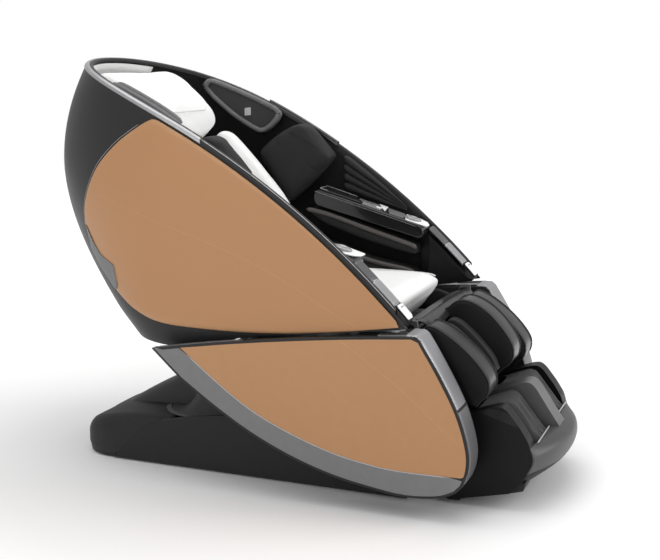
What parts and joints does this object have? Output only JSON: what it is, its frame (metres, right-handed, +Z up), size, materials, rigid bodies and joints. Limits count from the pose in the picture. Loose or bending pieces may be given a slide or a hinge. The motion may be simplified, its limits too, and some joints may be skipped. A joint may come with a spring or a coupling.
{
  "type": "massage chair",
  "caption": "Reclining massage chair: hooded cocoon back, side wings, padded seat and back, calf rest and sliding foot box on a low base.",
  "frame": {"origin": "on the floor, under the middle of the whole chair", "axes": "+X to the sitter's left, +Y to the rear, +Z up; the sitter faces -Y"},
  "size_m": [0.79, 1.5408, 1.1563],
  "materials": {
    "frame_paint": "satin powder coat",
    "bumper_plastic": "matt charcoal with a soft sheen",
    "hump_plastic": "matt charcoal",
    "cover_plastic": "matt dark gray",
    "feet_rubber": "matt",
    "box_plastic": "fine grain",
    "pump_plastic": "fine grain",
    "switch_plastic": "gloss",
    "wheel_plastic": "worn",
    "motor_paint": "satin",
    "rod_steel": "ground",
    "seat_leather": "soft white upholstery",
    "back_leather": "soft white upholstery",
    "airbag_fabric": "coated black fabric",
    "wing_black": "satin gloss black",
    "copper_panel": "satin copper lacquer",
    "wing_band": "satin gray",
    "wing_front": "satin silver",
    "shell_plastic": "satin charcoal",
    "badge_gray": "satin gray",
    "rim_silver": "satin silver",
    "liner_fabric": "black knit",
    "arm_black": "semi-gloss black",
    "arm_silver": "satin silver",
    "tip_white": "gloss white",
    "pod_gray": "satin gray",
    "grille_mesh": "fine mesh",
    "console_black": "gloss",
    "dial_silver": "turned",
    "key_white": "gloss",
    "carriage_steel": "satin",
    "roller_resin": "amber",
    "leg_plastic": "satin",
    "calf_leather": "semi-gloss black",
    "foot_plastic": "satin black",
    "foot_fabric": "gathered black fabric",
    "sole_plastic": "satin"
  },
  "bodies": {
    "base": {"base_frame": "frame_paint", "rear_bumper": "bumper_plastic", "hump_cover": "hump_plastic", "side_cover_right": "cover_plastic", "side_cover_left": "cover_plastic", "base_feet": "feet_rubber", "control_box": "box_plastic", "air_pump": "pump_plastic"},
    "switch": {"power_switch": "switch_plastic"},
    "wheels": {"transport_wheels": "wheel_plastic"},
    "seat": {"seat_frame": "frame_paint", "seat_cushion": "seat_leather", "hip_airbags": "airbag_fabric", "wing_shell_right": "wing_black", "wing_shell_left": "wing_black", "wing_panel_right": "copper_panel", "wing_panel_left": "copper_panel", "wing_bands": "wing_band", "wing_fronts": "wing_front"},
    "tilt_motor": {"tilt_motor": "motor_paint"},
    "tilt_rod": {"tilt_rod": "rod_steel"},
    "recline_motor": {"recline_motor": "motor_paint"},
    "recline_rod": {"recline_rod": "rod_steel"},
    "leg_motor": {"leg_motor": "motor_paint"},
    "leg_rod": {"leg_rod": "rod_steel"},
    "back": {"back_shell": "shell_plastic", "cocoon_panel_right": "copper_panel", "cocoon_panel_left": "copper_panel", "badge_plates": "badge_gray", "rim_strip": "rim_silver", "inner_liner": "liner_fabric", "arm_front_right": "arm_black", "arm_front_left": "arm_black", "arm_top_trims": "arm_silver", "tip_insets": "tip_white", "speaker_pods": "pod_gray", "speaker_grilles": "grille_mesh", "shoulder_airbags": "airbag_fabric", "rib_pads": "airbag_fabric", "arm_airbags": "airbag_fabric", "back_frame": "frame_paint", "back_cushion": "back_leather", "head_pillow": "back_leather", "console_right": "console_black", "console_left": "console_black"},
    "dial_right": {"dial_right": "dial_silver"},
    "dial_left": {"dial_left": "dial_silver"},
    "key_right": {"start_key_right": "key_white"},
    "key_left": {"start_key_left": "key_white"},
    "carriage": {"massage_carriage": "carriage_steel"},
    "kneader": {"knead_shaft": "rod_steel"},
    "roller_right": {"massage_roller_right": "roller_resin"},
    "roller_left": {"massage_roller_left": "roller_resin"},
    "leg": {"leg_frame": "leg_plastic", "calf_lobe_right": "calf_leather", "calf_lobe_middle": "calf_leather", "calf_lobe_left": "calf_leather"},
    "foot": {"foot_box": "foot_plastic", "foot_liner": "foot_fabric"},
    "foot_roller": {"foot_rollers": "sole_plastic"}
  },
  "joints": [
    {"name": "seat_tilt", "type": "hinge", "parent": "base", "child": "seat", "pos_m": [0, 0.27, 0.165], "axis": [-1, 0, 0], "range_deg": [0, 18]},
    {"name": "back_recline", "type": "hinge", "parent": "seat", "child": "back", "pos_m": [0, 0.2, 0.33], "axis": [-1, 0, 0], "range_deg": [0, 22]},
    {"name": "leg_lift", "type": "hinge", "parent": "seat", "child": "leg", "pos_m": [0, -0.385, 0.47], "axis": [-1, 0, 0], "range_deg": [0, 50]},
    {"name": "foot_extend", "type": "slide", "parent": "leg", "child": "foot", "axis": [0, -0.6198, -0.7848], "range_m": [0, 0.101]},
    {"name": "foot_roller_spin", "type": "hinge", "parent": "foot", "child": "foot_roller", "pos_m": [0, -0.6447, 0.09276], "axis": [1, 0, 0], "continuous": true},
    {"name": "wheel_roll", "type": "hinge", "parent": "base", "child": "wheels", "pos_m": [0, 0.585, 0.027], "axis": [1, 0, 0], "continuous": true},
    {"name": "power_rocker", "type": "hinge", "parent": "base", "child": "switch", "pos_m": [0.12, 0.645, 0.047], "axis": [1, 0, 0], "range_deg": [0, 9]},
    {"name": "track_travel", "type": "slide", "parent": "back", "child": "carriage", "axis": [0, 0.6691, 0.7431], "range_m": [0, 0.355]},
    {"name": "knead_turn", "type": "hinge", "parent": "carriage", "child": "kneader", "pos_m": [0, 0.30766, 0.56427], "axis": [1, 0, 0], "continuous": true},
    {"name": "roller_spin_right", "type": "hinge", "parent": "carriage", "child": "roller_right", "pos_m": [-0.048, 0.27905, 0.61022], "axis": [1, 0, 0], "continuous": true},
    {"name": "roller_spin_left", "type": "hinge", "parent": "carriage", "child": "roller_left", "pos_m": [0.048, 0.27905, 0.61022], "axis": [1, 0, 0], "continuous": true},
    {"name": "tilt_motor_swing", "type": "hinge", "parent": "base", "child": "tilt_motor", "pos_m": [0, -0.15, 0.05], "axis": [1, 0, 0], "range_deg": [-5.19, 0.5]},
    {"name": "tilt_rod_slide", "type": "slide", "parent": "tilt_motor", "child": "tilt_rod", "axis": [0, 0.26, 0.9656], "range_m": [-0.001, 0.11692]},
    {"name": "recline_motor_swing", "type": "hinge", "parent": "seat", "child": "recline_motor", "pos_m": [0.168, -0.15, 0.3], "axis": [1, 0, 0], "range_deg": [-0.83, 0.5]},
    {"name": "recline_rod_slide", "type": "slide", "parent": "recline_motor", "child": "recline_rod", "axis": [0, 0.9806, -0.1961], "range_m": [-0.03917, 0.001]},
    {"name": "leg_motor_swing", "type": "hinge", "parent": "seat", "child": "leg_motor", "pos_m": [0, -0.15, 0.33], "axis": [1, 0, 0], "range_deg": [-6.8, 0.5]},
    {"name": "leg_rod_slide", "type": "slide", "parent": "leg_motor", "child": "leg_rod", "axis": [0, -0.9954, 0.0956], "range_m": [-0.001, 0.09573]},
    {"name": "dial_turn_right", "type": "hinge", "parent": "back", "child": "dial_right", "pos_m": [-0.3, -0.205, 0.66923], "axis": [0, -0.2712, 0.9625], "continuous": true},
    {"name": "key_press_right", "type": "slide", "parent": "back", "child": "key_right", "axis": [0, 0.2712, -0.9625], "range_m": [0, 0.0015], "stiffness_N_per_m": 400, "springref_m": -0.001},
    {"name": "dial_turn_left", "type": "hinge", "parent": "back", "child": "dial_left", "pos_m": [0.3, -0.205, 0.66923], "axis": [0, -0.2712, 0.9625], "continuous": true},
    {"name": "key_press_left", "type": "slide", "parent": "back", "child": "key_left", "axis": [0, 0.2712, -0.9625], "range_m": [0, 0.0015], "stiffness_N_per_m": 400, "springref_m": -0.001}
  ],
  "couplings": [
    {"joint": "foot_extend", "follows": "leg_lift", "m_per_rad": 0.1146},
    {"joint": "tilt_motor_swing", "follows": "seat_tilt", "ratio": -0.2605},
    {"joint": "tilt_rod_slide", "follows": "seat_tilt", "m_per_rad": 0.369},
    {"joint": "recline_motor_swing", "follows": "back_recline", "ratio": -0.0149},
    {"joint": "recline_rod_slide", "follows": "back_recline", "m_per_rad": -0.0994},
    {"joint": "leg_motor_swing", "follows": "leg_lift", "ratio": -0.1259},
    {"joint": "leg_rod_slide", "follows": "leg_lift", "m_per_rad": 0.10855}
  ]
}
